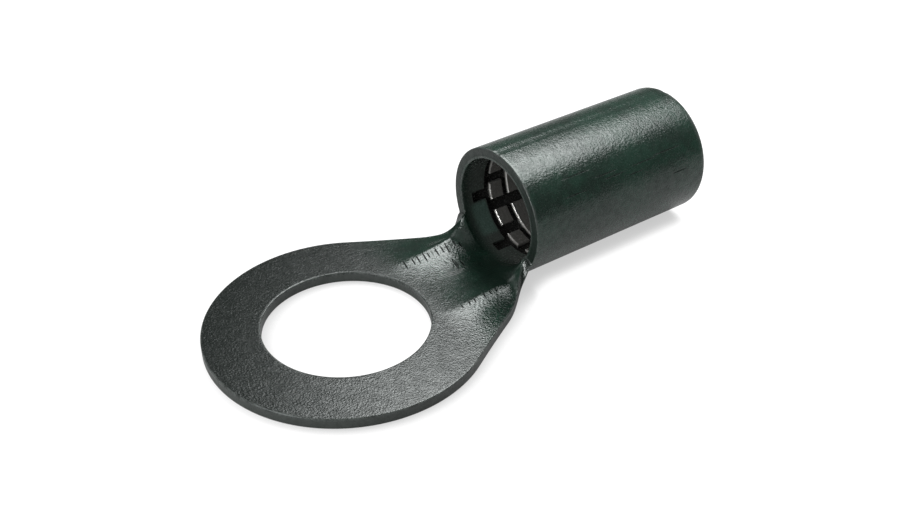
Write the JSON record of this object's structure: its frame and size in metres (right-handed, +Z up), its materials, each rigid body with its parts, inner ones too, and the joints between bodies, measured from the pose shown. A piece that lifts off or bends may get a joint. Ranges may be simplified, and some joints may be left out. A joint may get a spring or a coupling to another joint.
{
  "type": "ring terminal",
  "caption": "Crimp ring terminal: a flat ring with a stud hole, and a troughed neck that leads up into a rolled barrel for a stranded conductor.",
  "frame": {"origin": "centre of the stud hole, on the underside of the ring", "axes": "+X along the barrel towards the wire end, +Z up out of the stud hole, +Y across the ring"},
  "size_m": [0.0434, 0.022, 0.0108],
  "materials": {
    "coated_metal": "dark green-black satin coating over copper sheet, with fine grain, bright worn bends and small scratches"
  },
  "bodies": {
    "root": {"ring_terminal": "coated_metal"}
  },
  "joints": []
}
